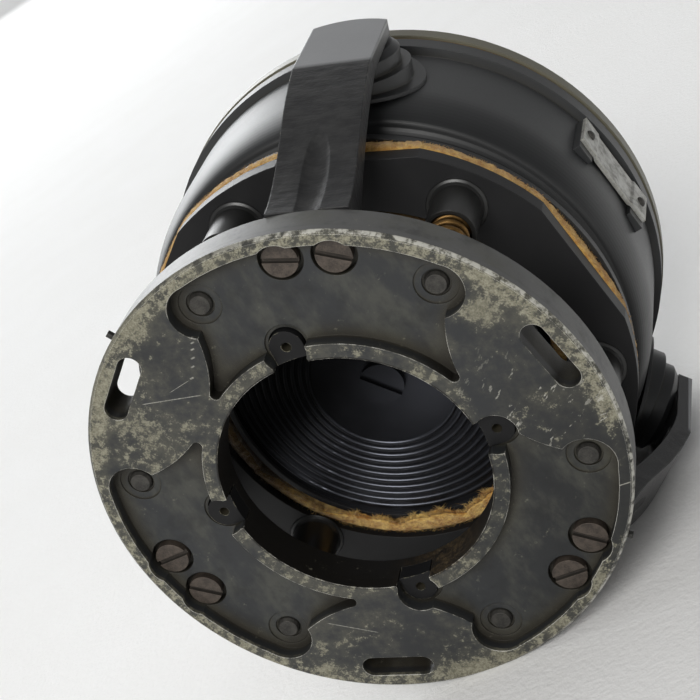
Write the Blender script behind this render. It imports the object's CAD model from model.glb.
import math
import random

import bpy
from mathutils import Matrix, Vector, noise


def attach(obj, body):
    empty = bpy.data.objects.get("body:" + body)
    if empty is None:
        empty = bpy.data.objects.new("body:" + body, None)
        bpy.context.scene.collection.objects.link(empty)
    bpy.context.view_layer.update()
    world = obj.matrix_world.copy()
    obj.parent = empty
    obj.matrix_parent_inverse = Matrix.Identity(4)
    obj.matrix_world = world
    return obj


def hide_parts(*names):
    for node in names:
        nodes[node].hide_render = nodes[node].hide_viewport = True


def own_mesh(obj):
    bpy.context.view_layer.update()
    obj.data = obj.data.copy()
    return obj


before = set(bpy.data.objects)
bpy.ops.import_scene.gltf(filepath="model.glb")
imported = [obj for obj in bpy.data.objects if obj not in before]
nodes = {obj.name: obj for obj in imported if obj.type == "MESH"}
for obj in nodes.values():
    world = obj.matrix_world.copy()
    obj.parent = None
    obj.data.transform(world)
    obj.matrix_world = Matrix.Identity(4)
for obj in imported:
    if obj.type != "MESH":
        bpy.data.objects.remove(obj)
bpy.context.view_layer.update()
scene = bpy.context.scene
MM = 0.001

# Sizes that the part's source also has, in metres and degrees
BASE_T = 10 * MM
POST_CIRCLE_R = 50.6 * MM
POST_TURN = -60
COIL_R = 3.9 * MM
WIRE_R = 0.65 * MM
COIL_TOP = 37 * MM
FELT_BOTTOM = 43 * MM
FELT_TOP = 47 * MM
FELT_IN_R = 41.5 * MM
FELT_OUT_R = 59.7 * MM
FELT_LIP_R = 45.1 * MM
FELT_LIP_BOTTOM = 40 * MM
CLAMP_RING_BOTTOM = 38.9 * MM
CARRIER_TURN = 2.5
CARRIER_FLAT_R = 57.5 * MM
GRID_OUTER = (58.08 * MM, 104.5 * MM)
GRID_INNER = (54.88 * MM, 107.2 * MM)
ARM_TURN = -90

# How the felt pad lies, how far its lip hangs and where its wool spills out, in metres and degrees
PAD_SHIFT, PAD_SHIFT_TURN = 0.7 * MM, 235
FELT_BRIM = 40.4 * MM
TUFT_MIN_R = 40.4 * MM
SPILL_TURN, SPILL_HALF_WIDTH = 79, 56
SPILL_IN = 3.2 * MM
SPILL_BOTTOM, SPILL_TOP = 37.3 * MM, 38.6 * MM
SPILL_FIBRE_TURNS = (25, 133)
FELT_SECTIONS = 900
LOOSE_FIBRES, LOOSE_SEED = 15000, 41
SPILL_FIBRES, SPILL_SEED = 7000, 43


def tone(red, green, blue):
    """A colour given as display values from 0 to 255, in linear light."""
    def linear(v):
        v /= 255
        return v / 12.92 if v <= 0.04045 else ((v + 0.055) / 1.055) ** 2.4
    return linear(red), linear(green), linear(blue), 1.0


class Look:
    """A material: its shader and the patterns that feed it.

    Patterns are in metres, in the part's own frame.
    """

    def __init__(self, name, sockets=None):
        self.material = bpy.data.materials.new(name)
        self.material.use_nodes = True
        self.tree = self.material.node_tree
        self.shader = self.tree.nodes["Principled BSDF"]
        self.place = self.add("ShaderNodeTexCoord").outputs["Object"]
        self.fill(self.shader, sockets or {})

    def fill(self, node, sockets):
        for key, value in sockets.items():
            if isinstance(value, bpy.types.NodeSocket):
                self.tree.links.new(value, node.inputs[key])
            else:
                node.inputs[key].default_value = value

    def add(self, kind, sockets=None, **settings):
        node = self.tree.nodes.new(kind)
        for key, value in settings.items():
            setattr(node, key, value)
        self.fill(node, sockets or {})
        return node

    def math(self, operation, a, b=0.0, clamp=False):
        return self.add("ShaderNodeMath", {0: a, 1: b}, operation=operation, use_clamp=clamp).outputs[0]

    def total(self, *terms):
        """The sum of sockets, numbers and (socket, factor) pairs."""
        result = None
        for term in terms:
            if isinstance(term, tuple):
                term = self.math("MULTIPLY", *term)
            result = term if result is None else self.math("ADD", result, term)
        return result

    def product(self, *terms):
        result = terms[0]
        for term in terms[1:]:
            result = self.math("MULTIPLY", result, term)
        return result

    def step(self, value, low, high):
        """0 at low, 1 at high, smooth between them."""
        return self.add("ShaderNodeMapRange", {"Value": value, "From Min": low, "From Max": high},
                        interpolation_type="SMOOTHSTEP").outputs["Result"]

    def span(self, value, low, high):
        """A 0 to 1 pattern stretched to run from low to high."""
        return self.add("ShaderNodeMapRange",
                        {"Value": value, "To Min": low, "To Max": high}).outputs["Result"]

    def blend(self, factor, a, b):
        return self.add("ShaderNodeMix", {0: factor, 6: a, 7: b}, data_type="RGBA").outputs[2]

    def turned(self, degrees):
        return self.add("ShaderNodeVectorRotate", {"Vector": self.place, "Angle": math.radians(degrees)},
                        rotation_type="Z_AXIS").outputs["Vector"]

    def grain(self, size, detail=4.0, rough=0.55, stretch=(1, 1, 1), seed=0, turn=0):
        """Noise whose marks are about size across, and longer along an axis with a small stretch."""
        place = self.turned(-turn) if turn else self.place
        scale = [s / size for s in stretch]
        shift = (seed * 3.17, seed * 5.71, seed * 1.93)
        moved = self.add("ShaderNodeMapping", {"Vector": place, "Scale": scale, "Location": shift})
        return self.add("ShaderNodeTexNoise", {"Vector": moved.outputs[0], "Scale": 1.0, "Detail": detail,
                                               "Roughness": rough}).outputs["Fac"]

    def vector(self, operation, a, b=(0, 0, 0)):
        """The outputs of a vector operation: 0 is a vector and Value a number."""
        return self.add("ShaderNodeVectorMath", {0: a, 1: b}, operation=operation).outputs

    def axis(self, name):
        return self.add("ShaderNodeSeparateXYZ", {0: self.place}).outputs[name]

    def flat(self):
        """The place without its height."""
        return self.vector("MULTIPLY", self.place, (1, 1, 0))[0]

    def radius(self):
        return self.vector("LENGTH", self.flat())["Value"]

    def near(self, x, y, size):
        """1 at a point of the plane (millimetres), 0 beyond size."""
        away = self.vector("DISTANCE", self.flat(), (x * MM, y * MM, 0))["Value"]
        return self.step(away, size * MM, 0.0)

    def scratch(self, start, end, width):
        """A straight mark between two points of the plane, in millimetres."""
        a, b = Vector((*start, 0)) * MM, Vector((*end, 0)) * MM
        length = (b - a).length
        along = (b - a).normalized()
        rel = self.vector("SUBTRACT", self.place, a)[0]
        run = self.vector("DOT_PRODUCT", rel, along)["Value"]
        off = self.vector("DOT_PRODUCT", rel, (-along.y, along.x, 0))["Value"]
        thin = self.step(self.math("ABSOLUTE", off), width * MM, width * MM * 0.4)
        fade = min(1 * MM, length * 0.3)
        return self.product(thin, self.step(run, 0.0, fade), self.step(run, length, length - fade))

    def soft(self, radius):
        """The normal, rounded over edges."""
        return self.add("ShaderNodeBevel", {"Radius": radius}, samples=6).outputs[0]

    def open(self, distance):
        """1 in the open, falling towards 0 in corners."""
        return self.add("ShaderNodeAmbientOcclusion", {"Distance": distance}, samples=6,
                        only_local=True).outputs["AO"]

    def edge(self, radius):
        """1 on outer edges."""
        face = self.add("ShaderNodeNewGeometry").outputs["Normal"]
        same = self.vector("DOT_PRODUCT", self.soft(radius), face)["Value"]
        turn = self.step(same, 0.995, 0.86)
        return self.product(turn, self.step(self.open(radius * 3), 0.62, 0.9))

    def surface(self, color, rough, metal, height, depth, soft):
        """The finished material, with its relief depth deep and its edges rounded by soft."""
        self.fill(self.shader, {"Base Color": color, "Roughness": rough})
        if metal is not None:
            self.fill(self.shader, {"Metallic": metal})
        bump = {"Strength": 1.0, "Distance": depth, "Height": height}
        if soft:
            bump["Normal"] = self.soft(soft)
        self.fill(self.shader, {"Normal": self.add("ShaderNodeBump", bump).outputs[0]})
        return self.material


# Colours
SLATE = tone(48, 50, 52)
SLATE_DARK = tone(35, 36, 37)
BARE = tone(152, 149, 131)
BARE_DARK = tone(104, 101, 86)
SILVER = tone(214, 213, 206)
DUST = tone(92, 86, 68)
DIRT = tone(27, 24, 19)

# Scratches and dents in the base's underside, from and to in millimetres, with their width
MARKS = [
    ((-43.3, -22.6), (-28.7, -23.9), 0.16), ((-36.3, -24.9), (-30.6, -27.9), 0.10),
    ((-28.1, -37.8), (-26.9, -38.3), 0.26), ((-28.4, -36.6), (-27.2, -37.1), 0.26),
    ((-28.8, -35.0), (-27.6, -35.5), 0.28), ((-29.3, -32.9), (-28.0, -33.4), 0.28),
    ((-29.8, -30.8), (-28.6, -31.3), 0.28), ((-30.7, -28.0), (-29.5, -28.5), 0.28),
    ((54.1, -11.7), (56.5, -12.5), 0.14), ((53.9, -10.1), (56.4, -11.7), 0.14),
    ((52.6, 7.2), (59.6, 5.0), 0.18), ((-14.7, 39.9), (-2.4, 43.4), 0.14),
]

# Patches of the base's underside that are more or less worn: x, y and size in millimetres, weight
WORN_PLACES = [
    (33.1, -38.3, 7, 0.17), (40, -42, 14, 0.03), (-43, -14, 18, 0.09), (-50, -26, 13, 0.06),
    (-38, -38, 12, 0.04), (-13, 47, 14, 0.05), (18, 52, 15, 0.06), (0, 40, 9, 0.03),
    (58, -13, 7, 0.07), (44, -10, 16, 0.035), (59, 10, 26, -0.11),
]


class BaseLook(Look):
    """Worn cast base: mottled rims, chipped lands, duller pockets with dirt in their corners."""

    def __init__(self):
        super().__init__("base_paint", {"Specular IOR Level": 0.32})
        z, r = self.axis("Z"), self.radius()
        self.face = self.step(z, 0.5 * MM, 0.25 * MM)
        self.skin = self.step(z, 1 * MM, 0.3 * MM)
        self.low = self.step(z, 1.2 * MM, 0.9 * MM)
        self.hollow = self.step(z, 2.4 * MM, 3.4 * MM)
        self.outer = self.product(self.low, self.step(r, 53.6 * MM, 57.4 * MM))
        self.inner = self.product(self.face, self.step(r, 34.8 * MM, 33.0 * MM))
        self.bore = self.step(r, 30.9 * MM, 30.55 * MM)
        self.crest = self.product(self.step(r, 59.25 * MM, 59.5 * MM), self.low)
        self.side = self.product(self.step(r, 59.6 * MM, 59.9 * MM), self.step(self.low, 1.0, 0.0))
        self.cloud = self.grain(22 * MM, 3, seed=1)
        self.patch = self.grain(6 * MM, 4, 0.6, seed=2)
        self.fleck = self.grain(1.7 * MM, 8, 0.68, seed=3)
        self.grit = self.grain(0.45 * MM, 5, 0.7, seed=4)
        self.dash = self.grain(2.0 * MM, 6, 0.62, (1, 0.34, 1), 5, 38)
        self.smudge = self.grain(9 * MM, 5, 0.65, (1, 0.5, 1), 6, -20)
        self.nick = self.grain(1.1 * MM, 5, 0.6, (1, 0.32, 1), 7, 34)
        self.shut = self.open(7 * MM)
        self.edges = self.edge(0.3 * MM)

    def bias(self):
        """How much more readily the paint is lost, by zone and by place."""
        places = self.total(*((self.near(x, y, size), weight) for x, y, size, weight in WORN_PLACES))
        return self.total((self.outer, 0.095), (self.inner, 0.055), (self.edges, 0.05),
                          self.product(self.low, places))

    def bright(self):
        """Scratches, nicks and rubbed edges, down to shining metal."""
        marks = 0.0
        for start, end, width in MARKS:
            marks = self.math("MAXIMUM", self.scratch(start, end, width), marks)
        marks = self.product(marks, self.skin, self.span(self.grit, 0.1, 0.95))
        broken = self.step(self.total((self.patch, 0.5), (self.fleck, 0.4), (self.outer, 0.08)), 0.36, 0.52)
        lines = self.product(self.step(self.edges, 0.25, 0.7), self.low, broken)
        rubbed = self.step(self.total((self.fleck, 0.5), (self.patch, 0.5)), 0.42, 0.54)
        across = self.total((self.axis("X"), 0.8), (self.axis("Y"), -0.4))
        crest = self.product(self.crest, rubbed, self.step(across, -10 * MM, 25 * MM))
        nicks = self.step(self.total((self.nick, 0.7), (self.patch, 0.3)), 0.585, 0.63)
        nicks = self.product(nicks, self.near(42, -14, 28), self.face)
        lines = self.math("MAXIMUM", lines, self.product(crest, 0.8))
        lines = self.math("MAXIMUM", lines, self.product(nicks, 0.75))
        return self.math("MAXIMUM", marks, self.product(lines, 0.9), True)

    def coat(self, bias):
        """The paint with its haze, stains and dirt, and where it is dusty."""
        haze = self.total((self.patch, 0.45), (self.smudge, 0.25), (self.fleck, 0.3), (bias, 1.3))
        haze = self.product(self.step(haze, 0.43, 0.72), self.low, 0.72)
        shade = self.product(self.near(52, 8, 46), 0.75)
        side = self.product(self.side, self.span(self.patch, 0.6, 1.0))
        pale = self.product(self.hollow, self.step(self.smudge, 0.42, 0.66), 0.5)
        dark = self.product(self.hollow, self.step(self.patch, 0.52, 0.3), 0.48)
        dusty = self.step(self.total(self.step(self.shut, 0.92, 0.6), (self.patch, 0.6)), 0.6, 1.3)
        dusty = self.product(dusty, self.hollow, 0.55)
        corner = self.product(self.step(self.shut, 0.72, 0.4), 0.92)
        rust = self.step(self.total((self.fleck, 0.4), (self.grit, 0.6)), 0.45, 0.6)
        rust = self.product(self.bore, self.near(17, 27, 17), rust)
        coat = self.blend(self.cloud, SLATE_DARK, SLATE)
        for mask, layer in ((haze, tone(88, 86, 75)), (shade, tone(30, 31, 31)), (side, tone(92, 92, 91)),
                            (pale, tone(78, 78, 70)), (dark, tone(27, 28, 28)), (dusty, tone(72, 67, 53)),
                            (corner, DIRT), (self.bore, tone(20, 18, 15)), (rust, tone(82, 68, 47))):
            coat = self.blend(mask, coat, layer)
        return coat, dusty

    def finished(self):
        bias = self.bias()
        level = self.total((self.fleck, 0.36), (self.grit, 0.2), (self.patch, 0.2), (self.dash, 0.24), bias)
        chips = self.product(self.step(level, 0.565, 0.63), self.span(self.face, 0.35, 0.9))
        bright = self.bright()
        worn = self.math("MAXIMUM", chips, bright, True)
        coat, dusty = self.coat(bias)
        mixed = self.step(self.total((self.grit, 0.5), (self.fleck, 0.5)), 0.4, 0.64)
        bare = self.blend(bright, self.blend(mixed, BARE_DARK, BARE), SILVER)
        shown = self.span(self.math("MAXIMUM", self.outer, bright), 0.78, 1.0)
        color = self.blend(self.product(worn, shown), coat, bare)
        rough = self.total((self.grit, 0.16), (worn, 0.08), (dusty, 0.3), 0.36)
        height = self.total((worn, -0.4), (self.grit, 0.22), (self.patch, 0.4),
                            (self.product(self.hollow, self.smudge), 0.6))
        return self.surface(color, rough, self.product(worn, 0.25), height, 0.08 * MM, 0.3 * MM)


def paint(name, coats, bare=(BARE_DARK, BARE), rough=0.36, chips=0.74, rim=0.1, dirt=0.35, seed=10,
          tooth=0.04, spec=0.5, wall=None):
    """Brushed or sprayed paint over metal, worn at its edges.

    wall gives two heights and two coats, for a piece whose upper part has paint of another tone.
    """
    look = Look(name, {"Specular IOR Level": spec})
    cloud = look.grain(24 * MM, 3, seed=seed)
    patch = look.grain(6 * MM, 4, 0.6, seed=seed + 1)
    fleck = look.grain(1.8 * MM, 8, 0.66, seed=seed + 2)
    fine = look.grain(0.45 * MM, 4, seed=seed + 3)
    edges = look.edge(0.3 * MM)
    corner = look.step(look.open(4 * MM), 0.85, 0.4)
    level = look.total((fleck, 0.7), (patch, 0.3), (edges, rim))
    worn = look.step(level, chips, chips + 0.035)
    coat = look.blend(cloud, coats[0], coats[1])
    if wall:
        coat = look.blend(look.step(look.axis("Z"), *wall[0]), coat, look.blend(cloud, *wall[1]))
    dusty = look.product(look.step(look.total(corner, (patch, 0.45)), 0.6, 1.3), dirt)
    coat = look.blend(dusty, coat, DUST)
    color = look.blend(worn, coat, look.blend(fine, *bare))
    roughness = look.total((fine, 0.12), (cloud, 0.1), (dusty, 0.3), (worn, 0.1), rough - 0.1)
    height = look.total((worn, -0.7), (fine, 0.25), (patch, 0.25))
    return look.surface(color, roughness, look.product(worn, 0.5), height, tooth * MM, 0.3 * MM)


def arm_look(index):
    """Cast arm: a leg with file marks, a smoother and paler head, worn edges.

    The first arm is the roughest.
    """
    look = Look("arm_paint_%d" % (index + 1), {"Specular IOR Level": 0.45})
    turn = ARM_TURN + 120 * index
    seed = 30 + 7 * index
    z = look.axis("Z")
    leg = look.step(z, 56 * MM, 52 * MM)
    coarse, least_rough = (1.0, 0.26) if index == 0 else (0.25, 0.1)
    cloud = look.grain(14 * MM, 3, seed=seed)
    file_marks = look.grain(5 * MM, 5, 0.65, (1, 0.35, 2.0), seed + 1, turn)
    dents = look.grain(3.6 * MM, 4, 0.55, (1, 0.7, 1.2), seed + 2, turn)
    fleck = look.grain(1.6 * MM, 8, 0.66, seed=seed + 3)
    fine = look.grain(0.4 * MM, 4, seed=seed + 4)
    edges = look.edge(0.4 * MM)
    corner = look.step(look.open(4 * MM), 0.85, 0.4)
    worn = look.step(look.total((fleck, 0.7), (dents, 0.3), (edges, 0.16)), 0.70, 0.75)
    crown = look.product(look.step(look.radius(), 74.35 * MM, 74.65 * MM), look.step(leg, 1.0, 0.0))
    coat = look.blend(cloud, tone(40, 40, 41), tone(50, 50, 51))
    coat = look.blend(crown, coat, look.blend(cloud, tone(124, 125, 127), tone(136, 137, 139)))
    coat = look.blend(leg, coat, look.blend(look.step(dents, 0.4, 0.7), tone(31, 31, 32), tone(45, 45, 45)))
    coat = look.blend(look.product(corner, 0.35), coat, DUST)
    color = look.blend(look.product(worn, 0.7), coat, look.blend(fine, BARE_DARK, BARE))
    rough = look.total((fine, 0.12), (cloud, 0.06), (leg, 0.06), least_rough)
    filed, dented = look.product(leg, file_marks), look.product(leg, dents)
    height = look.total((filed, 0.8 * coarse), (dented, 0.9 * coarse), (fine, 0.06), (cloud, 0.3),
                        (worn, -0.1))
    return look.surface(color, rough, look.product(worn, 0.4), height, 0.36 * MM, 0.45 * MM)


def metal(name, low, high, rough, shine, seed, size=3 * MM):
    """Bare or tarnished metal, brighter on its edges."""
    look = Look(name)
    patch = look.grain(size, 5, 0.6, seed=seed)
    fine = look.grain(0.3 * MM, 5, 0.6, seed=seed + 1)
    edges = look.edge(0.2 * MM)
    corner = look.step(look.open(2 * MM), 0.85, 0.35)
    mixed = look.step(look.total((patch, 0.6), (fine, 0.4)), 0.35, 0.65)
    shining = tuple(min(1.0, c * 1.6) for c in high[:3]) + (1.0,)
    color = look.blend(mixed, low, high)
    color = look.blend(look.product(edges, 0.6), color, shining)
    color = look.blend(look.product(corner, 0.85), color, DIRT)
    roughness = look.total((fine, 0.2), (patch, 0.14), (corner, 0.25), rough - 0.14)
    height = look.total((fine, 0.6), (patch, 0.4))
    shine = look.product(look.step(corner, 1.0, 0.0), shine)
    return look.surface(color, roughness, shine, height, 0.02 * MM, 0.2 * MM)


def diaphragm_look():
    """Gloss black lacquer, dull towards one side."""
    look = Look("diaphragm_lacquer", {"Specular Tint": tone(232, 237, 255)})
    cloud = look.grain(16 * MM, 3, seed=80)
    patch = look.grain(3 * MM, 4, seed=81)
    corner = look.step(look.open(1.6 * MM), 0.9, 0.5)
    coat = look.blend(cloud, tone(13, 13, 14), tone(20, 20, 22))
    color = look.blend(look.product(corner, 0.5), coat, tone(9, 9, 9))
    across = look.total((look.axis("X"), 0.6), (look.axis("Y"), 0.8))
    clean = look.step(look.total(across, (cloud, 8 * MM)), -6 * MM, 20 * MM)
    look.fill(look.shader, {"Specular IOR Level": look.span(clean, 0.06, 0.76)})
    color = look.blend(clean, tone(9, 9, 9), color)
    rough = look.total((cloud, 0.14), (patch, 0.1), 0.2)
    return look.surface(color, rough, None, look.total((patch, 0.3), (cloud, 0.7)), 0.015 * MM, 0)


def plate_look():
    """Bare alloy plate with a dull, mottled face and brighter edges."""
    look = Look("plate_alloy", {"Metallic": 0.7})
    patch = look.grain(3.2 * MM, 6, 0.65, seed=90)
    brush = look.grain(0.4 * MM, 5, 0.6, (1, 0.06, 1), 91, -27.5)
    fleck = look.grain(1.1 * MM, 8, 0.7, seed=92)
    edges = look.edge(0.25 * MM)
    dull = look.step(look.total((patch, 0.7), (fleck, 0.3)), 0.4, 0.62)
    color = look.blend(dull, tone(178, 178, 174), tone(134, 133, 128))
    color = look.blend(look.product(look.step(fleck, 0.64, 0.76), 0.45), color, tone(92, 89, 82))
    color = look.blend(look.product(edges, 0.8), color, tone(196, 192, 176))
    rough = look.total((brush, 0.2), (dull, 0.16), 0.34)
    height = look.total((brush, 0.4), (dull, -0.5), (fleck, 0.4))
    return look.surface(color, rough, None, height, 0.05 * MM, 0.25 * MM)


def soft_look(name, low, high, rough, seed):
    """Rubber, gasket board, white paint: no metal, a fine tooth."""
    look = Look(name, {"Specular IOR Level": 0.25})
    cloud = look.grain(9 * MM, 4, 0.6, seed=seed)
    fine = look.grain(0.7 * MM, 6, 0.65, seed=seed + 1)
    color = look.blend(look.step(look.total((cloud, 0.55), (fine, 0.45)), 0.3, 0.7), low, high)
    return look.surface(color, look.span(fine, rough - 0.12, rough + 0.08), None, fine, 0.1 * MM, 0)


def felt_look():
    """Golden wool felt, oily along part of its inner edge and dusty at its outer one."""
    look = Look("felt_wool", {"Specular IOR Level": 0.2, "Sheen Weight": 0.25, "Sheen Roughness": 0.5})
    cloud = look.grain(6 * MM, 4, 0.6, seed=106)
    tuft = look.grain(1.6 * MM, 5, 0.65, seed=107)
    fine = look.grain(0.3 * MM, 4, 0.7, seed=108)
    mixed = look.step(look.total((cloud, 0.25), (tuft, 0.5), (fine, 0.25)), 0.38, 0.62)
    color = look.blend(mixed, tone(172, 114, 40), tone(247, 210, 122))
    across = look.total((look.axis("X"), 0.5), (look.axis("Y"), 0.866), (cloud, 6 * MM))
    oily = look.product(look.step(look.radius(), 47 * MM, 46 * MM), look.step(across, 34 * MM, 6 * MM), 0.9)
    color = look.blend(oily, color, tone(42, 28, 17))
    dusty = look.product(look.step(look.radius(), 54 * MM, 57 * MM), look.span(tuft, 0.25, 0.8))
    color = look.blend(dusty, color, look.blend(fine, tone(112, 82, 44), tone(196, 150, 82)))
    height = look.total((fine, 0.5), (tuft, 1.0))
    return look.surface(color, look.span(fine, 0.82, 0.98), None, height, 0.6 * MM, 0)


def glass_look():
    """Clear plate glass with a trace of dust."""
    look = Look("clear_glass", {"Transmission Weight": 1.0, "IOR": 1.45})
    dust = look.step(look.grain(9 * MM, 8, 0.7, seed=110), 0.55, 0.8)
    color = look.blend(dust, (0.97, 0.985, 0.98, 1.0), (0.88, 0.89, 0.87, 1.0))
    look.fill(look.shader, {"Base Color": color, "Roughness": look.span(dust, 0.0, 0.12)})
    return look.material


def dress(material, *names):
    """Give modelled pieces a material."""
    for name in names:
        mesh = nodes[name].data
        mesh.materials.clear()
        mesh.materials.append(material)


def new_piece(name, vertices, faces, material, body, slot):
    """A mesh of the part, with its material, on a body."""
    mesh = bpy.data.meshes.new(name)
    mesh.from_pydata(vertices, [], faces)
    mesh.update()
    mesh.shade_smooth()
    mesh.materials.append(material)
    piece = bpy.data.objects.new(name, mesh)
    scene.collection.objects.link(piece)
    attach(piece, body)
    return piece


# Materials of the modelled pieces
dress(BaseLook().finished(), "base_plate")
for k in range(3):
    dress(arm_look(k), "support_arm_%d" % (k + 1))
dress(paint("lug_black", (tone(15, 15, 16), tone(25, 25, 26)), rough=0.5, chips=0.68, rim=0.16, seed=12,
            spec=0.2), "corrector_lugs")
bowl_wall = ((62 * MM, 71 * MM), (tone(46, 47, 48), tone(60, 61, 62)))
dress(paint("bowl_satin", (tone(25, 26, 27), tone(35, 36, 37)), rough=0.43, chips=0.80, rim=0.05, dirt=0.12,
            seed=14, tooth=0.02, spec=0.45, wall=bowl_wall), "bowl")
dress(paint("carrier_satin", (tone(24, 24, 25), tone(35, 35, 36)), rough=0.46, chips=0.78, rim=0.12, dirt=0.1,
            seed=16, spec=0.3), "carrier_plate", "diaphragm_ring")
dress(paint("cup_satin", (tone(24, 24, 24), tone(36, 36, 35)), chips=0.78, dirt=0.15, seed=18), "spring_cups")
dress(paint("stud_satin", (tone(30, 31, 32), tone(44, 45, 46)), chips=0.76, rim=0.08, seed=20),
      "bowl_studs", "plate_bosses", "filler_plug")
dress(paint("bezel_olive", (tone(84, 82, 70), tone(108, 105, 90)), rough=0.4, chips=0.73, rim=0.12, seed=22),
      "bezel_ring", "grid_keepers", "clamp_lever")
dress(paint("grid_black", (tone(26, 27, 28), tone(36, 37, 38)), chips=0.75, rim=0.12, seed=24), "grid_ring")
dress(metal("screw_bronze", tone(52, 46, 41), tone(84, 75, 67), 0.52, 0.35, 60, 2.5 * MM), "arm_screws")
dress(metal("post_steel", tone(44, 43, 41), tone(72, 70, 66), 0.5, 0.5, 62, 2 * MM),
      "guide_posts", "bezel_screws", "keeper_screws", "clamp_screw", "plate_rivets")
dress(metal("pin_steel", tone(40, 40, 40), tone(70, 69, 66), 0.45, 0.7, 64, 1 * MM), "rim_pins")
dress(metal("bright_brass", tone(150, 112, 52), tone(206, 166, 92), 0.3, 0.95, 66),
      "clamp_post", "pivot_stem", "diaphragm_nut", "wire_anchors")
dress(metal("bright_steel", tone(140, 141, 142), tone(196, 196, 194), 0.28, 0.95, 68),
      "needle_dome", "pivot_pin", "damping_filaments", "grid_wires")
dress(metal("magnet_steel", tone(58, 60, 64), tone(92, 94, 98), 0.4, 0.85, 70), "magnets")
dress(diaphragm_look(), "diaphragm", "diaphragm_screw")
dress(plate_look(), "data_plate")
dress(soft_look("seal_rubber", tone(30, 29, 28), tone(48, 46, 43), 0.65, 100), "glass_seal")
dress(soft_look("gasket_ochre", tone(96, 70, 28), tone(150, 116, 56), 0.75, 102), "bezel_gasket")
dress(soft_look("washer_fibre", tone(112, 64, 40), tone(150, 92, 58), 0.7, 104), "filler_washer")
dress(glass_look(), "glass")
dress(paint("cream_paint", (tone(214, 206, 172), tone(232, 226, 198)),
            (tone(150, 142, 116), tone(176, 168, 140)), rough=0.5, chips=0.76, rim=0.04, dirt=0.3, seed=26),
      "needle", "lubber_line")
dress(metal("jewel", tone(120, 20, 34), tone(168, 38, 52), 0.16, 0.0, 72), "jewel_cup")


def tube(points, radius, sides):
    """Vertices and faces of a closed tube along points."""
    vertices, faces = [], []
    last = len(points) - 1
    for i, p in enumerate(points):
        along = (points[min(i + 1, last)] - points[max(i - 1, 0)]).normalized()
        out = Vector((p.x, p.y, 0)).normalized()
        side = along.cross(out).normalized()
        out = side.cross(along)
        for k in range(sides):
            a = 2 * math.pi * k / sides
            vertices.append(p + radius * (out * math.cos(a) + side * math.sin(a)))
    for i in range(last):
        for k in range(sides):
            a, b = i * sides + k, i * sides + (k + 1) % sides
            faces.append((a, b, b + sides, a + sides))
    faces.append(tuple(range(sides - 1, -1, -1)))
    faces.append(tuple(range(last * sides, last * sides + sides)))
    return vertices, faces


def spring_points():
    """The middle of a spring's wire, with a closed turn at either end."""
    closed, active, steps = 1.0, 8.0, 36
    low, high = BASE_T + WIRE_R, COIL_TOP - WIRE_R
    pitch = 2 * WIRE_R * 1.02
    rise = (high - low - 2 * closed * pitch) / active
    total = 2 * closed + active
    points = []
    for i in range(int(total * steps) + 1):
        t = i / steps
        climb = (min(t, closed) * pitch + min(max(t - closed, 0), active) * rise
                 + max(t - closed - active, 0) * pitch)
        a = 2 * math.pi * t
        points.append(Vector((COIL_R * math.cos(a), COIL_R * math.sin(a), low + climb)))
    return points


SPRINGS = 6
SPRING_SIDES = 12
SPRING_SPIN = 0.9
coil = tube(spring_points(), WIRE_R, SPRING_SIDES)
vertices, faces = [], []
for k in range(SPRINGS):
    turn = math.radians(POST_TURN + 360 / SPRINGS * k)
    centre = Vector((POST_CIRCLE_R * math.cos(turn), POST_CIRCLE_R * math.sin(turn), 0))
    spin = Matrix.Rotation(turn + SPRING_SPIN * k, 3, "Z")
    first = len(vertices)
    vertices += [spin @ v + centre for v in coil[0]]
    faces += [tuple(first + i for i in f) for f in coil[1]]
spring_metal = metal("spring_bronze", tone(84, 62, 34), tone(140, 108, 62), 0.4, 0.85, 74, 2 * MM)
springs = new_piece("coil_springs", vertices, faces, spring_metal, "base", "spring_bronze")
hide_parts("suspension_springs")
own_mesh(springs)


def ragged(turn, height, size, seed):
    """Noise round the felt ring, from about -1 to 1."""
    p = Vector((math.cos(turn) * 50, math.sin(turn) * 50, height * 1000)) / size
    return noise.fractal(p + Vector((seed, seed * 2.3, seed * 0.7)), 1.0, 2.0, 4)


def lumps(turn, seed):
    """Tufts a few millimetres wide, from 0 to 1."""
    return min(1.0, abs(ragged(turn, 0, 5.5, seed)) * 1.5)


def wavy(start, end, count, turn, seed, depth):
    """Points from start to end, moved off the line by the felt's roughness."""
    (r0, z0), (r1, z1) = start, end
    length = math.hypot(r1 - r0, z1 - z0)
    out = ((z1 - z0) / length, (r0 - r1) / length)
    points = []
    for i in range(count):
        u = (i + 0.5) / count
        r, z = r0 + (r1 - r0) * u, z0 + (z1 - z0) * u
        off = depth * (0.7 * math.sin(math.pi * u) + 0.6 * ragged(turn, (r + z) * 1.3, 1.0, seed))
        points.append((r + out[0] * off, z + out[1] * off))
    return points


def puffs(turn):
    """Rounded scallops of loose wool, from 0 to 1."""
    large = abs(math.sin(7 * turn + math.radians(50))) ** 0.6
    small = abs(math.sin(17 * turn + math.radians(20))) ** 0.6
    return 0.7 * large + 0.22 * small + 0.08 * ragged(turn, 0, 1.2, 5)


def felt_shift(turn):
    """How far the pad stands out at one angle, because it lies a little off centre."""
    return PAD_SHIFT * math.cos(turn - math.radians(PAD_SHIFT_TURN))


def felt_outside(turn):
    """Radius of the pad's outer edge, trimmed roughly along the carrier plate's flats."""
    off = (math.degrees(turn) - CARRIER_TURN) % 60 - 30
    flat = min(FELT_OUT_R, CARRIER_FLAT_R / math.cos(math.radians(off)))
    return 0.4 * (FELT_OUT_R - 0.9 * MM) + 0.6 * flat + 0.5 * felt_shift(turn)


def felt_inside(turn):
    """Radius of the pad's inner edge, with puffy tufts."""
    return max(TUFT_MIN_R, FELT_IN_R + 1.5 * MM + felt_shift(turn) - 1.6 * MM * puffs(turn))


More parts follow.
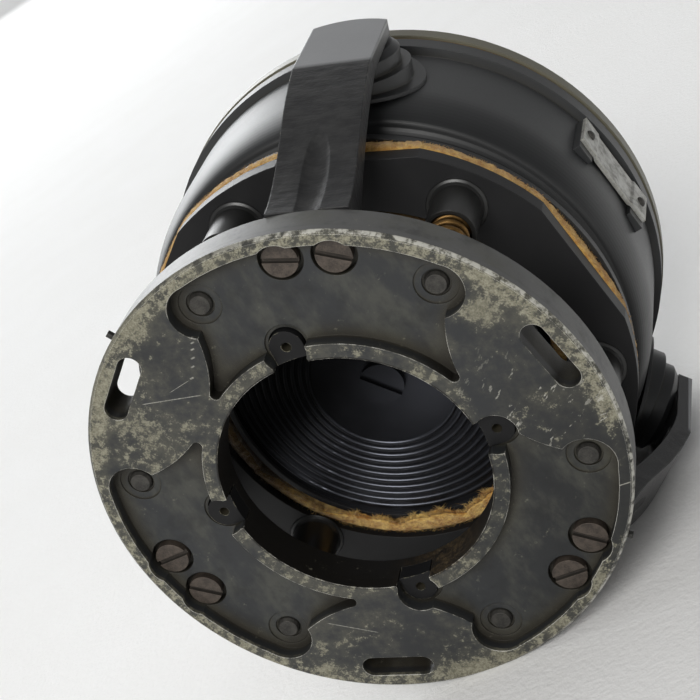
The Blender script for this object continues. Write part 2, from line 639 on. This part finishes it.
def felt_spill(turn):
    """How much wool spills out under the clamping ring on the low side, from 0 to 1."""
    off = (turn - math.radians(SPILL_TURN) + math.pi) % (2 * math.pi) - math.pi
    return max(0.0, 1 - (off / math.radians(SPILL_HALF_WIDTH)) ** 2) * (0.35 + 0.65 * puffs(turn))


def felt_hang(turn):
    """Height to which the tufts at the inner edge hang."""
    hang = FELT_LIP_BOTTOM - 0.2 * MM - 1.2 * MM * lumps(turn, 7) + 0.4 * felt_shift(turn)
    return hang + (SPILL_BOTTOM - hang) * min(1.0, 1.3 * felt_spill(turn))


def spilled(r, z, turn):
    """A point of the lip, drawn in under the clamping ring where the wool spills."""
    below = min(max((CLAMP_RING_BOTTOM - z) / (0.6 * MM), 0.0), 1.0)
    beside = min(max(1 - (r - felt_inside(turn)) / (3 * MM), 0.0), 1.0)
    return r - SPILL_IN * felt_spill(turn) * below * beside, z


def felt_section(turn):
    """The felt's section at one angle, as radius and height: a soft block with a hanging inner lip."""
    outer = felt_outside(turn) + 0.3 * MM * ragged(turn, 0, 2.2, 9)
    inner = felt_inside(turn)
    lip = FELT_LIP_R - 0.15 * MM
    hang = felt_hang(turn)
    bottom, top = FELT_BOTTOM + 0.02 * MM, FELT_TOP - 0.02 * MM
    step = 0.3 * MM
    points = wavy((outer, bottom + step), (outer, top - step), 7, turn, 13, 0.35 * MM)
    points += [(outer - step, top), (inner + 8 * MM, top), (inner + step, top)]
    points += wavy((inner, top - step), (inner, CLAMP_RING_BOTTOM + 1.4 * MM), 5, turn, 17, 0.3 * MM)
    tuft = wavy((inner, CLAMP_RING_BOTTOM + 1.2 * MM), (inner, hang + step), 6, turn, 17, 0.3 * MM)
    tuft += wavy((inner + step, hang), (lip - step, FELT_BRIM), 7, turn, 19, 0.4 * MM)
    points += [spilled(r, z, turn) for r, z in tuft]
    points += [(lip, FELT_BRIM + step), (lip, (FELT_BRIM + bottom) / 2), (lip, bottom - 0.1 * MM)]
    points += [(lip + step, bottom), (lip + 8 * MM, bottom), (outer - step, bottom)]
    return points


def felt_body(count):
    """A ring of felt sections, closed."""
    vertices, faces = [], []
    size = 0
    for i in range(count):
        turn = 2 * math.pi * i / count
        section = felt_section(turn)
        size = len(section)
        vertices += [Vector((r * math.cos(turn), r * math.sin(turn), z)) for r, z in section]
    for i in range(count):
        for k in range(size):
            a, b = i * size + k, i * size + (k + 1) % size
            c, d = (i + 1) % count * size + (k + 1) % size, (i + 1) % count * size + k
            faces.append((a, d, c, b))
    return vertices, faces


def add_fibre(vertices, faces, root, middle, tip, width):
    """A thin curved spike, rooted in the felt."""
    first = len(vertices)
    along = (tip - root).normalized()
    side = along.orthogonal().normalized()
    other = along.cross(side)
    for p, w in ((root, width), (middle, width * 0.8)):
        for k in range(3):
            a = 2 * math.pi * k / 3
            vertices.append(p + w * (side * math.cos(a) + other * math.sin(a)))
    vertices.append(tip)
    for k in range(3):
        m = (k + 1) % 3
        faces.append((first + k, first + m, first + 3 + m, first + 3 + k))
        faces.append((first + 3 + k, first + 3 + m, first + 6))
    faces.append((first + 2, first + 1, first))


def felt_fibres(vertices, faces, count, seed):
    """Loose fibres on the outer edge and all over the inner lip."""
    draw = random.Random(seed)
    for i in range(count):
        outside = i % 3 == 0
        turn = draw.uniform(0, 2 * math.pi)
        out = Vector((math.cos(turn), math.sin(turn), 0))
        round_ = Vector((-out.y, out.x, 0))
        up = Vector((0, 0, 1))
        if outside:
            z = draw.uniform(FELT_BOTTOM + 0.4 * MM, FELT_TOP - 0.4 * MM)
            root = out * (felt_outside(turn) - 0.15 * MM) + up * z
            away = out
            reach = (0.35 + 0.6 * max(0.5 + 0.5 * ragged(turn, z, 1.6, 23), 0)) * MM
            low, high = FELT_BOTTOM + 0.2 * MM, FELT_TOP - 0.2 * MM
        else:
            tuft = lumps(turn, 7)
            inner, hang = felt_inside(turn), felt_hang(turn)
            if draw.uniform(0, 1) < 0.6:
                u = draw.uniform(0, 1) ** 1.5
                r, z = spilled(inner + u * (FELT_LIP_R - inner) + 0.2 * MM * (1 - u),
                               hang + u * (FELT_BRIM - hang) + 0.25 * MM, turn)
                away = (-up - out * (0.8 - u)).normalized()
            else:
                r, z = spilled(inner + 0.3 * MM, draw.uniform(hang + 0.2 * MM, FELT_BOTTOM), turn)
                away = (-out - up * 0.6).normalized()
            root = out * r + up * z
            reach = (0.4 + 0.8 * tuft) * MM
            low, high = FELT_LIP_BOTTOM - 3.6 * MM, FELT_TOP - 0.2 * MM
        lean = draw.uniform(-1.1, 1.1) * reach
        droop = draw.uniform(-0.8, 0.5) * reach
        middle = root + away * reach * 0.6 + round_ * lean * 0.35 + up * droop * 0.3
        tip = root + away * reach * draw.uniform(0.8, 1.15) + round_ * lean + up * droop
        middle.z = min(max(middle.z, low), high)
        tip.z = min(max(tip.z, low), high)
        add_fibre(vertices, faces, root, middle, tip, draw.uniform(0.025, 0.055) * MM)


def spill_fibres(vertices, faces, count, seed):
    """Loose wool on the tufts that spill out under the clamping ring."""
    draw = random.Random(seed)
    up = Vector((0, 0, 1))
    for _ in range(count):
        turn = math.radians(draw.uniform(*SPILL_FIBRE_TURNS))
        out = Vector((math.cos(turn), math.sin(turn), 0))
        round_ = Vector((-out.y, out.x, 0))
        spill = felt_spill(turn)
        height = draw.uniform(felt_hang(turn) + 0.1 * MM, SPILL_TOP)
        r, z = spilled(felt_inside(turn) + 0.35 * MM, height, turn)
        root = out * r + up * z
        clump = max(0.4, 0.85 + 0.9 * ragged(turn, 0, 1.3, 29))
        reach = (0.45 + 1.7 * draw.uniform(0, 1) ** 3) * (0.6 + 0.55 * spill) * clump * MM
        lean = draw.uniform(-0.9, 0.9) * reach
        middle = root - out * reach * 0.6 + round_ * lean * 0.3 - up * draw.uniform(0.0, 0.2) * reach
        tip = root - out * reach + round_ * lean + up * draw.uniform(-0.5, 0.1) * reach
        add_fibre(vertices, faces, root, middle, tip, draw.uniform(0.04, 0.08) * MM)


vertices, faces = felt_body(FELT_SECTIONS)
felt_fibres(vertices, faces, LOOSE_FIBRES, LOOSE_SEED)
spill_fibres(vertices, faces, SPILL_FIBRES, SPILL_SEED)
felt = new_piece("felt_ring", vertices, faces, felt_look(), "bowl_unit", "felt")
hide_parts("felt_pad")


def bevel_frame(turn, up):
    """A frame on the grid ring's bevel, and the bevel's length.

    x runs round the ring, y up the bevel and z out of it.
    """
    slope = Vector((GRID_INNER[0] - GRID_OUTER[0], GRID_INNER[1] - GRID_OUTER[1]))
    length = slope.length
    slope /= length
    out = Vector((math.cos(turn), math.sin(turn), 0))
    y = out * slope.x + Vector((0, 0, slope.y))
    x = Vector((-out.y, out.x, 0))
    z = x.cross(y)
    r = GRID_OUTER[0] + slope.x * length * up
    h = GRID_OUTER[1] + slope.y * length * up
    matrix = Matrix((x, y, z)).transposed().to_4x4()
    matrix.translation = out * r + Vector((0, 0, h))
    return matrix, length


def tick_marks():
    """White lines cut round the grid ring, every five degrees, longer at ten."""
    vertices, faces = [], []
    for i in range(72):
        matrix, length = bevel_frame(math.radians(5 * i), 0.0)
        end, half = (0.42, 0.19 * MM) if i % 2 == 0 else (0.27, 0.13 * MM)
        low, high = 0.08 * length, end * length
        first = len(vertices)
        for z in (-0.04 * MM, 0.035 * MM):
            for x, y in ((-half, low), (half, low), (half, high), (-half, high)):
                vertices.append(matrix @ Vector((x, y, z)))
        faces += [tuple(first + k for k in f) for f in
                  ((3, 2, 1, 0), (4, 5, 6, 7), (0, 1, 5, 4), (1, 2, 6, 5), (2, 3, 7, 6), (3, 0, 4, 7))]
    return vertices, faces


def dial_numbers():
    """Numbers every thirty degrees on the grid ring's bevel, read from outside."""
    vertices, faces = [], []
    for i in range(12):
        curve = bpy.data.curves.new("number", "FONT")
        curve.body = str(30 * i)
        curve.size = 2.5 * MM
        curve.align_x = "CENTER"
        curve.extrude = 0.03 * MM
        text = bpy.data.objects.new("number", curve)
        mesh = bpy.data.meshes.new_from_object(text)
        matrix, _ = bevel_frame(math.radians(90 - 30 * i), 0.5)
        first = len(vertices)
        vertices += [matrix @ v.co for v in mesh.vertices]
        faces += [tuple(first + k for k in f.vertices) for f in mesh.polygons]
        bpy.data.objects.remove(text)
        bpy.data.curves.remove(curve)
        bpy.data.meshes.remove(mesh)
    return vertices, faces


white = soft_look("dial_white", tone(206, 202, 184), tone(232, 230, 216), 0.6, 112)
new_piece("grid_ticks", *tick_marks(), white, "grid_unit", "cream_paint")
new_piece("grid_numbers", *dial_numbers(), white, "grid_unit", "cream_paint")

# Camera at the photograph's viewing angle
RIGHT = Vector((0.965375, 0.193849, 0.174564))
UP = Vector((0.078264, -0.853576, 0.515057))
BACK = Vector((0.248847, -0.483561, -0.839192))
CAMERA_PLACE = Vector((0.08969, -0.195532, -0.283724))
LENS = 84.2236
camera = bpy.data.objects.new("camera", bpy.data.cameras.new("camera"))
scene.collection.objects.link(camera)
view = Matrix((RIGHT, UP, BACK)).transposed().to_4x4()
view.translation = CAMERA_PLACE
camera.matrix_world = view
camera.data.lens = LENS
camera.data.sensor_width = 36
camera.data.clip_start = 0.01
scene.camera = camera
scene.view_settings.view_transform = "Standard"

# Floor that the compass lies on, by the edges of its bezel and its base, seen from its upper side only
DOWN_TURN = math.radians(69.2)
DOWN = Vector((math.cos(DOWN_TURN), math.sin(DOWN_TURN), 0))
TILT = math.atan2(4.5, 92)
FLOOR_UP = (-DOWN * math.cos(TILT) + Vector((0, 0, 1)) * math.sin(TILT)).normalized()
FLOOR_POINT = DOWN * 64.55 * MM + Vector((0, 0, 102 * MM))
FLOOR_REACH = 14


def floor_look():
    """Pale paper with a fine tooth, clear from behind."""
    look = Look("floor_paper", {"Specular IOR Level": 0.2})
    cloud = look.grain(60 * MM, 3, seed=120)
    fine = look.grain(1.6 * MM, 6, 0.6, seed=121)
    color = look.blend(look.total((cloud, 0.6), (fine, 0.4)), tone(238, 237, 235), tone(247, 247, 247))
    look.surface(color, look.span(fine, 0.7, 0.85), None, fine, 0.25 * MM, 0.1 * MM)
    back = look.add("ShaderNodeNewGeometry").outputs["Backfacing"]
    clear = look.add("ShaderNodeBsdfTransparent").outputs[0]
    mix = look.add("ShaderNodeMixShader", {0: back, 1: look.shader.outputs[0], 2: clear})
    look.fill(look.tree.nodes["Material Output"], {"Surface": mix.outputs[0]})
    return look.material


floor_mesh = bpy.data.meshes.new("floor")
side = FLOOR_UP.orthogonal().normalized()
other = FLOOR_UP.cross(side)
floor_mesh.from_pydata([FLOOR_POINT + side * a * FLOOR_REACH + other * b * FLOOR_REACH
                        for a, b in ((-1, -1), (1, -1), (1, 1), (-1, 1))], [], [(0, 1, 2, 3)])
floor_mesh.materials.append(floor_look())
floor = bpy.data.objects.new("floor", floor_mesh)
scene.collection.objects.link(floor)

# Directions over the floor
FLOOR_LEFT = (-RIGHT + FLOOR_UP * RIGHT.dot(FLOOR_UP)).normalized()
AWAY = (-BACK + FLOOR_UP * BACK.dot(FLOOR_UP)).normalized()
PART_MIDDLE = Vector((0, 0, 0.05))

# Lights: name, place in metres left, away and up from the part's middle, width, height, watts and colour
LIGHTS = [
    ("window", (1.0, 2.6, 1.3), 3.0, 2.0, 70, (0.97, 0.99, 1.0)),
    ("far_window", (1.1, 4.5, 1.6), 2.0, 1.6, 26, (0.97, 0.99, 1.0)),
    ("room", (0.52, -1.48, 0.87), 0.7, 0.7, 21, (1.0, 0.99, 0.97)),
]


def window_light(name, place, width, height, energy, color):
    """A soft light at place, measured left, away and up from the part's middle, that faces it."""
    data = bpy.data.lights.new(name, "AREA")
    data.shape = "RECTANGLE"
    data.size = width
    data.size_y = height
    data.energy = energy
    data.color = color
    light = bpy.data.objects.new(name, data)
    offset = FLOOR_LEFT * place[0] + AWAY * place[1] + FLOOR_UP * place[2]
    across = FLOOR_UP.cross(offset).normalized()
    facing = offset.normalized()
    frame_of = Matrix((across, facing.cross(across), facing)).transposed().to_4x4()
    frame_of.translation = PART_MIDDLE + offset
    light.matrix_world = frame_of
    scene.collection.objects.link(light)


for light in LIGHTS:
    window_light(*light)


def studio_world():
    """Soft fill, brighter from behind the part and from its left."""
    world = bpy.data.worlds.new("studio")
    scene.world = world
    world.use_nodes = True
    tree = world.node_tree
    dot = tree.nodes.new("ShaderNodeVectorMath")
    dot.operation = "DOT_PRODUCT"
    dot.inputs[1].default_value = (AWAY * 0.75 + FLOOR_LEFT * 0.5 + FLOOR_UP * 0.35).normalized()
    tree.links.new(tree.nodes.new("ShaderNodeTexCoord").outputs["Generated"], dot.inputs[0])
    ramp = tree.nodes.new("ShaderNodeMapRange")
    ramp.interpolation_type = "SMOOTHSTEP"
    for key, value in (("From Min", -0.7), ("From Max", 1.0), ("To Min", 0.15), ("To Max", 0.5)):
        ramp.inputs[key].default_value = value
    tree.links.new(dot.outputs["Value"], ramp.inputs["Value"])
    background = tree.nodes["Background"]
    background.inputs["Color"].default_value = (0.99, 0.995, 1.0, 1.0)
    tree.links.new(ramp.outputs["Result"], background.inputs["Strength"])


studio_world()
